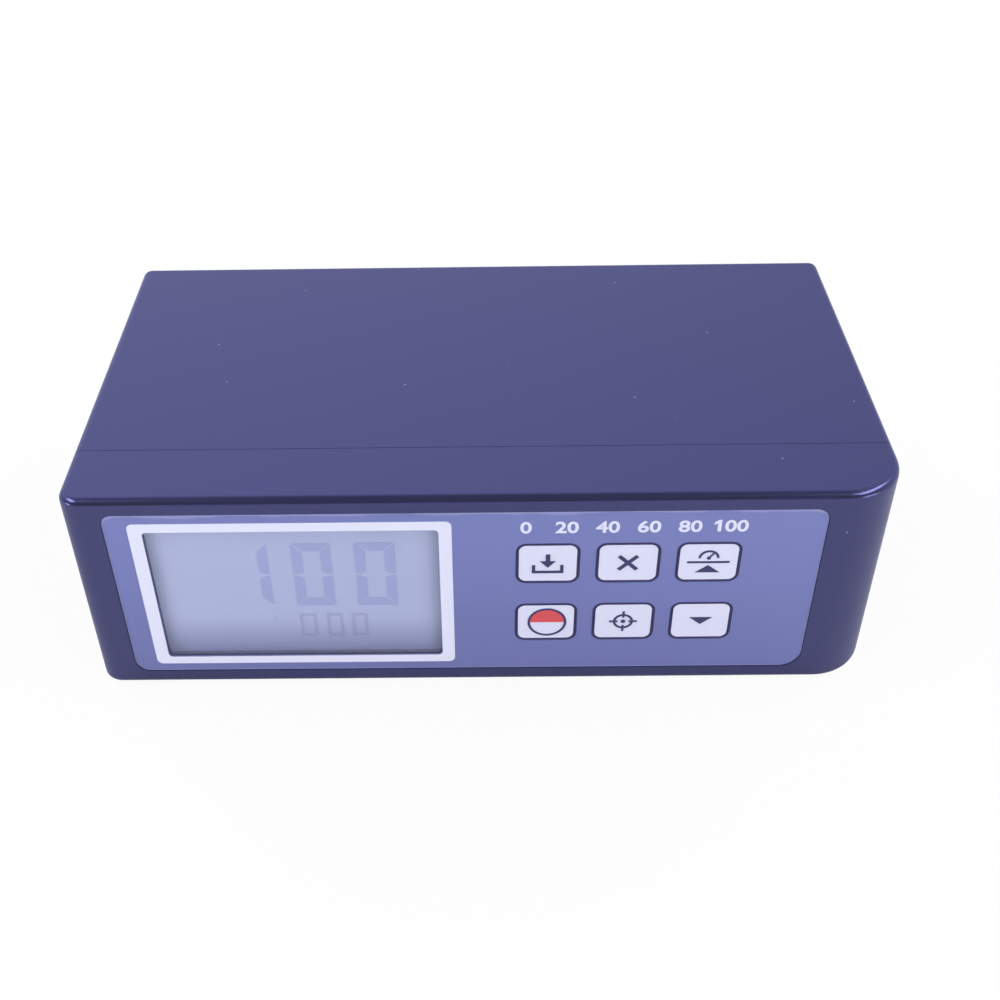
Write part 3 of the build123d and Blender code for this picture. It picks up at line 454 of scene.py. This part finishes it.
def roundedLoop(x0, x1, z0, z1, radius, steps=10):
    # points of a rounded rectangle, anticlockwise from its low right corner:
    # each corner is a quarter turn about a centre one radius inside both sides
    turn = np.linspace(0, np.pi / 2, steps)
    centres = [(x1 - radius, z0 + radius, -90), (x1 - radius, z1 - radius, 0),
               (x0 + radius, z1 - radius, 90), (x0 + radius, z0 + radius, 180)]
    corners = []
    for cx, cz, start in centres:
        angle = turn + np.radians(start)
        corners.append(np.stack([cx + radius * np.cos(angle), cz + radius * np.sin(angle)], 1))
    return np.concatenate(corners)


def putMesh(name, points, faces, look, body):
    # points are millimetres in the row frame
    data = bpy.data.meshes.new(name)
    data.from_pydata((np.asarray(points) * mm).tolist(), [], [list(map(int, face)) for face in faces])
    data.update()
    data.materials.append(look)
    piece = bpy.data.objects.new(name, data)
    bpy.context.collection.objects.link(piece)
    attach(piece, body)
    return piece


layerStep = 0.0015


def printedPlate(name, loops, frontY, backY, look, body):
    # each loop is carried from backY to frontY: a front face, a back face and a wall round it;
    # a later loop lies a hair further forward, so that crossing strokes never share a plane
    points, faces = [], []
    for order, loop in enumerate(loops):
        loop = np.asarray(loop)
        front, back = frontY - order * layerStep, backY - order * layerStep
        count = len(loop)
        base = len(points)
        ring = np.arange(count)
        after = (ring + 1) % count
        points += [[x, front, z] for x, z in loop] + [[x, back, z] for x, z in loop]
        faces.append((base + ring).tolist())
        faces.append((base + count + ring[::-1]).tolist())
        wall = np.stack([base + ring, base + count + ring, base + count + after, base + after], 1)
        faces += wall.tolist()
    return putMesh(name, points, faces, look, body)


def printedFrame(name, outer, inner, frontY, backY, look, body, slotName):
    # a strip between two loops with the same count of points, with a rectangular section
    count = len(outer)
    ring = np.arange(count)
    after = (ring + 1) % count
    rows = [(outer, frontY), (inner, frontY), (inner, backY), (outer, backY)]
    points = [[x, y, z] for loop, y in rows for x, z in loop]
    faces = []
    for row in range(4):
        low, high = row * count, ((row + 1) % 4) * count
        faces += np.stack([low + ring, low + after, high + after, high + ring], 1).tolist()
    return putMesh(name, points, faces, look, body)


inkFrontY = -37.36
inkBackY = -37.305
windowFrame = {"outer": (-59.1, -5.15, 6.17, 39.87, 1.1), "inner": (-56.8, -7.35, 7.9, 38.0, 0.8)}
printedFrame(
    "windowFramePrint", roundedLoop(*windowFrame["outer"]), roundedLoop(*windowFrame["inner"]),
    inkFrontY, inkBackY, whiteInk, "instrument", "key_print",
)

# Scale numbers over the keys, evenly spaced; figureHeight is that of a figure in the lettering at size 1
scaleNumbers = {"values": (0, 20, 40, 60, 80, 100), "left": 7.2, "right": 41.2, "base": 37.15,
                "height": 2.5, "figureHeight": 0.729, "widen": 1.15, "embolden": 0.022}


def textMesh(words, centreX, baseZ, height):
    # a line of figures as a flat mesh, in millimetres about centreX
    curve = bpy.data.curves.new("figures", "FONT")
    curve.body = words
    curve.align_x = "CENTER"
    curve.offset = scaleNumbers["embolden"]
    curve.resolution_u = 6
    holder = bpy.data.objects.new("figures", curve)
    bpy.context.collection.objects.link(holder)
    bpy.context.view_layer.update()
    flat = bpy.data.meshes.new_from_object(holder.evaluated_get(bpy.context.evaluated_depsgraph_get()))
    points = np.zeros(len(flat.vertices) * 3)
    flat.vertices.foreach_get("co", points)
    points = points.reshape(-1, 3)
    faces = [list(face.vertices) for face in flat.polygons]
    bpy.data.objects.remove(holder)
    bpy.data.curves.remove(curve)
    scale = height / scaleNumbers["figureHeight"]
    across = centreX + points[:, 0] * scale * scaleNumbers["widen"]
    return np.stack([across, np.full(len(points), inkFrontY), baseZ + points[:, 1] * scale], 1), faces


def buildScaleNumbers():
    # the figure one is drawn as an upright stroke with a flag; the others are plain lettering
    points, faces = [], []
    places = np.linspace(scaleNumbers["left"], scaleNumbers["right"], len(scaleNumbers["values"]))
    base, height = scaleNumbers["base"], scaleNumbers["height"]
    for value, centre in zip(scaleNumbers["values"], places):
        words = str(value)
        if words.startswith("1"):
            left = centre - 2.75
            stroke = [
                (0.45, 0.0), (1.05, 0.0), (1.05, height), (0.55, height),
                (-0.15, height - 0.55), (-0.15, height - 1.05), (0.45, height - 0.72),
            ]
            loop = [[left + x, inkFrontY, base + z] for x, z in stroke]
            faces.append(list(range(len(points), len(points) + len(loop))))
            points += loop
            words = words[1:]
            centre = centre + 0.85
        placed, flatFaces = textMesh(words, centre, base, height)
        first = len(points)
        points += placed.tolist()
        faces += [[first + v for v in face] for face in flatFaces]
    piece = putMesh("scaleNumbers", points, faces, whiteInk, "instrument")
    thick = piece.modifiers.new("inkDepth", "SOLIDIFY")
    thick.thickness = (inkBackY - inkFrontY) * mm
    thick.offset = -1.0


buildScaleNumbers()
print("film printed")

# Key marks, in millimetres about each key's centre
keyCentres = {}
for name in keyNames:
    low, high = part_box(name)
    keyCentres[name] = ((low[0] + high[0]) / 2 / mm, (low[2] + high[2]) / 2 / mm)


def bar(x0, z0, x1, z1, width):
    # a straight stroke from one point to the other, as a loop of four points
    along = np.array([x1 - x0, z1 - z0])
    along = along / np.hypot(*along)
    side = np.array([-along[1], along[0]]) * width / 2
    start, end = np.array([x0, z0]), np.array([x1, z1])
    return np.array([start - side, end - side, end + side, start + side])


def disc(cx, cz, radius, start=0.0, end=360.0, steps=48):
    # an arc of a circle closed by its chord, or a whole circle
    turn = np.radians(np.linspace(start, end, steps, endpoint=abs(end - start) < 360))
    return np.stack([cx + radius * np.cos(turn), cz + radius * np.sin(turn)], 1)


def arcStroke(cx, cz, radius, width, start, end, steps=40):
    # a curved stroke: an outer arc and the inner arc back again
    turn = np.radians(np.linspace(start, end, steps))
    outer = np.stack([np.cos(turn), np.sin(turn)], 1) * (radius + width / 2)
    inner = np.stack([np.cos(turn), np.sin(turn)], 1)[::-1] * (radius - width / 2)
    return np.concatenate([outer, inner]) + (cx, cz)


# Dark outline round each key: a line printed on the film, and the skirt inside the opening
keyOutlines = {
    "line": {"outer": (5.45, 4.58, 1.85), "inner": (5.31, 4.46, 1.71),
             "front": inkFrontY + 0.02, "back": inkBackY},
    "skirt": {"outer": (5.27, 4.42, 1.67), "inner": (4.93, 4.08, 1.33), "front": -37.27, "back": -37.2},
}
for name, (centreX, centreZ) in keyCentres.items():
    for part, sizes in keyOutlines.items():
        loops = [
            roundedLoop(centreX - halfX, centreX + halfX, centreZ - halfZ, centreZ + halfZ, corner)
            for halfX, halfZ, corner in (sizes["outer"], sizes["inner"])
        ]
        printedFrame(
            name + "_" + part, *loops, sizes["front"], sizes["back"], keyOutline, "instrument", "film_print"
        )

keyMarks = {
    # an arrow that drops into a tray
    "save_key": [
        bar(0, 2.1, 0, 0.4, 0.75), np.array([[-1.35, 0.55], [0, -0.95], [1.35, 0.55]]),
        bar(-2.4, -0.35, -2.4, -1.95, 0.55), bar(2.4, -1.95, 2.4, -0.35, 0.55),
        bar(-2.67, -1.95, 2.67, -1.95, 0.55),
    ],
    # a cross
    "delete_key": [bar(-1.55, -1.55, 1.55, 1.55, 0.7), bar(-1.55, 1.55, 1.55, -1.55, 0.7)],
    # a half dial with a needle, over a line and an upward triangle
    "read_key": [
        arcStroke(0, 0.95, 1.55, 0.42, 0, 180), bar(0, 0.95, 0.75, 2.0, 0.34), disc(0, 0.95, 0.36),
        bar(-3.6, 0.0, 3.6, 0.0, 0.42), np.array([[-2.05, -2.35], [2.05, -2.35], [0, -0.7]]),
    ],
    # rings of a target with a cross through them
    "calibrate_key": [
        arcStroke(0, 0, 1.55, 0.42, 0, 360, 60), disc(0, 0, 0.42), bar(-2.45, 0, -0.95, 0, 0.4),
        bar(0.95, 0, 2.45, 0, 0.4), bar(0, 0.95, 0, 2.45, 0.4), bar(0, -2.45, 0, -0.95, 0.4),
    ],
    "down_key": [np.array([[-2.0, 0.85], [0, -0.85], [2.0, 0.85]])],
    "power_key": [arcStroke(0.2, -0.05, 3.2, 0.42, 0, 360, 72)],
}
for name, loops in keyMarks.items():
    centreX, centreZ = keyCentres[name]
    body = name.replace("_key", "_button")
    shifted = [np.asarray(loop) + (centreX, centreZ) for loop in loops]
    printedPlate(name + "_mark", shifted, inkFrontY - 0.01, inkBackY, darkInk, body)
centreX, centreZ = keyCentres["power_key"]
redHalf = disc(centreX + 0.2, centreZ - 0.05, 3.0, 0.0, 180.0)
printedPlate("power_key_half", [redHalf], inkFrontY, inkBackY, redInk, "power_button")
print("key marks printed")

# Display figures: each is made of up to six bars, two level ones and four upright ones
segmentFaces = {"front": -35.98, "back": -35.951}


def segmentFigure(x0, x1, z0, z1, width, lit):
    # the bars meet in mitres at the figure's corners; the upright ones come to a point at mid height
    gap = width * 0.09
    mid = (z0 + z1) / 2

    def level(outer, inner):
        return np.array([
            [x0 + gap, outer], [x1 - gap, outer], [x1 - width - gap, inner], [x0 + width + gap, inner],
        ])

    def upright(outer, inner, corner, side):
        # side is 1 for the upper half and -1 for the lower
        return np.array([
            [outer, corner - side * gap], [outer, mid + side * gap * 1.4],
            [(outer + inner) / 2, mid + side * gap * 1.4], [inner, mid + side * width * 0.42],
            [inner, corner - side * (width + gap)],
        ])

    bars = {
        "a": level(z1, z1 - width), "d": level(z0, z0 + width),
        "b": upright(x1, x1 - width, z1, 1), "c": upright(x1, x1 - width, z0, -1),
        "e": upright(x0, x0 + width, z0, -1), "f": upright(x0, x0 + width, z1, 1),
    }
    return [anticlockwise(bars[key]) for key in lit]


def anticlockwise(loop):
    # the sign of the enclosed area tells which way round the points run
    ahead = np.roll(loop, -1, axis=0)
    area = np.sum(loop[:, 0] * ahead[:, 1] - ahead[:, 0] * loop[:, 1])
    return loop if area > 0 else loop[::-1]


largeFigures = {"low": 19.3, "high": 34.1, "width": 1.9,
                "places": ((-43.6, -36.65, "bc"), (-32.65, -25.8, "abcdef"), (-21.9, -14.9, "abcdef"))}
smallFigures = {"low": 11.6, "high": 17.3, "width": 0.62,
                "places": ((-32.55, -29.5, "abcdef"), (-27.75, -24.85, "abcdef"), (-23.3, -20.45, "abcdef"))}
smallDot = {"x": -36.7, "z": 16.4, "radius": 0.3}


def figureLoops(figures):
    loops = []
    for x0, x1, lit in figures["places"]:
        loops += segmentFigure(x0, x1, figures["low"], figures["high"], figures["width"], lit)
    return loops


printedPlate(
    "largeFigures", figureLoops(largeFigures), segmentFaces["front"], segmentFaces["back"],
    segmentInk, "instrument",
)
printedPlate(
    "smallFigures", figureLoops(smallFigures) + [disc(smallDot["x"], smallDot["z"], smallDot["radius"])],
    segmentFaces["front"], segmentFaces["back"], faintInk, "instrument",
)
print("display figures set")


# Floor, surroundings, lamps and camera

floorLook = {"reach": 3.0, "lines": 13, "colour": (0.45, 0.45, 0.48, 1), "roughness": 0.9,
             "glow": 1.04, "share": 0.90}


def buildFloor():
    # a flat sheet, wide enough to run out of every picture; what the lens sees of it is mostly its glow
    along = np.linspace(-floorLook["reach"], floorLook["reach"], floorLook["lines"])
    gridX, gridY = np.meshgrid(along, along, indexing="ij")
    points = np.stack([gridX, gridY, np.zeros_like(gridX)], 2).reshape(-1, 3)
    columns = len(along)
    i, j = np.meshgrid(np.arange(columns - 1), np.arange(columns - 1), indexing="ij")
    corner = (i * columns + j).ravel()
    faces = np.stack([corner, corner + columns, corner + columns + 1, corner + 1], 1)
    data = bpy.data.meshes.new("studioFloor")
    data.from_pydata(points.tolist(), [], faces.tolist())
    data.update()
    made = bpy.data.materials.new("paleFloor")
    made.use_nodes = True
    tree = made.node_tree
    shader = tree.nodes["Principled BSDF"]
    shader.inputs["Base Color"].default_value = floorLook["colour"]
    shader.inputs["Roughness"].default_value = floorLook["roughness"]
    path = tree.nodes.new("ShaderNodeLightPath")
    seen = calc(tree, "MAXIMUM", path.outputs["Is Camera Ray"], path.outputs["Is Transmission Ray"])
    glow = addNode(tree, "ShaderNodeEmission", in_Strength=floorLook["glow"])
    glow.inputs["Color"].default_value = (1, 1, 1, 1)
    blend = tree.nodes.new("ShaderNodeMixShader")
    tree.links.new(calc(tree, "MULTIPLY", seen, floorLook["share"]), blend.inputs["Fac"])
    tree.links.new(shader.outputs["BSDF"], blend.inputs[1])
    tree.links.new(glow.outputs["Emission"], blend.inputs[2])
    tree.links.new(blend.outputs["Shader"], tree.nodes["Material Output"].inputs["Surface"])
    data.materials.append(made)
    floor = bpy.data.objects.new("studioFloor", data)
    bpy.context.collection.objects.link(floor)


# Each part of the room has a colour, and its middle as a direction with the cosines where it sets in
roomLook = {
    "even": {"colour": (0.50, 0.51, 0.69, 1)},
    "bright": {"colour": (0.74, 0.77, 0.97, 1), "middle": (-0.45, 0.76, 0.47), "reach": (0.60, 1.0)},
    "dark": {"colour": (0.02, 0.02, 0.04, 1), "middle": (0.0, -0.78, 0.62), "reach": (0.05, 0.66)},
    "seen": {"colour": (0.975, 0.975, 0.98, 1)},
}


def buildWorld():
    # pale surroundings: dark in front and above, round the lens, and brighter high up at the back left;
    # what the lens sees of them is an even near-white
    world = bpy.data.worlds.new("studioRoom")
    bpy.context.scene.world = world
    world.use_nodes = True
    tree = world.node_tree
    sky = tree.nodes["Background"]
    where = tree.nodes.new("ShaderNodeTexCoord").outputs["Generated"]
    colour = roomLook["even"]["colour"]
    for part in ("bright", "dark"):
        look = roomLook[part]
        facing = addNode(tree, "ShaderNodeVectorMath", {0: where}, operation="DOT_PRODUCT")
        facing.inputs[1].default_value = look["middle"]
        share = ramp(tree, facing.outputs["Value"], *look["reach"])
        colour = mixColours(tree, share, colour, look["colour"])
    path = tree.nodes.new("ShaderNodeLightPath")
    colour = mixColours(tree, path.outputs["Is Camera Ray"], colour, roomLook["seen"]["colour"])
    tree.links.new(colour, sky.inputs["Color"])
    sky.inputs["Strength"].default_value = 1.0


def addLamp(name, place, aim, size, power, mirrored):
    # an unmirrored lamp lights every surface but doesn't show as a patch in glossy ones
    data = bpy.data.lights.new(name, "AREA")
    data.shape = "RECTANGLE"
    data.size, data.size_y = size
    data.energy = power
    lamp = bpy.data.objects.new(name, data)
    bpy.context.collection.objects.link(lamp)
    lamp.location = place
    lamp.visible_glossy = mirrored
    direction = np.array(aim) - np.array(place)
    lamp.rotation_euler = Vector(direction).to_track_quat("-Z", "Y").to_euler()


buildFloor()
buildWorld()
lamps = {
    "leftSoftbox": {"place": (-0.62, -0.22, 0.78), "size": (0.6, 0.26), "power": 3.6, "mirrored": True},
    "rightSoftbox": {"place": (0.66, -0.20, 0.78), "size": (0.9, 0.24), "power": 4.4, "mirrored": True},
    "leftGlint": {"place": (-0.84, -0.56, 0.11), "size": (0.38, 0.10), "power": 0.9, "mirrored": True},
    "rightGlint": {"place": (0.78, -0.64, 0.11), "size": (0.42, 0.11), "power": 1.1, "mirrored": True},
    "leftStrip": {"place": (-0.74, -0.60, 0.24), "size": (0.5, 0.28), "power": 4.6, "mirrored": False},
    "rightStrip": {"place": (0.78, -0.57, 0.24), "size": (0.5, 0.28), "power": 4.6, "mirrored": False},
    "leftBack": {"place": (-0.80, 0.62, 0.50), "size": (0.5, 0.4), "power": 7.0, "mirrored": False},
    "rightBack": {"place": (0.80, 0.62, 0.50), "size": (0.5, 0.4), "power": 7.0, "mirrored": False},
}
for name, lamp in lamps.items():
    addLamp(name, lamp["place"], (0, 0, 0.02), lamp["size"], lamp["power"], lamp["mirrored"])

view = {"place": (-0.0004275, -0.194548, 0.179474), "pitch": 90 - 37.942, "yaw": 0.8167, "roll": -1.0922,
        "lens": 45.822, "shiftX": 0.035242, "shiftY": -0.059999}
cameraData = bpy.data.cameras.new("photoCamera")
cameraData.lens = view["lens"]
cameraData.sensor_width = 36.0
cameraData.shift_x = view["shiftX"]
cameraData.shift_y = view["shiftY"]
cameraData.clip_start = 0.01
cameraData.clip_end = 20.0
camera = bpy.data.objects.new("photoCamera", cameraData)
bpy.context.collection.objects.link(camera)
turned = (Matrix.Rotation(math.radians(view["yaw"]), 4, "Z")
          @ Matrix.Rotation(math.radians(view["pitch"]), 4, "X")
          @ Matrix.Rotation(math.radians(view["roll"]), 4, "Z"))
camera.matrix_world = Matrix.Translation(view["place"]) @ turned
bpy.context.scene.camera = camera
bpy.context.scene.view_settings.view_transform = "Standard"
print("stage, lamps and camera set")
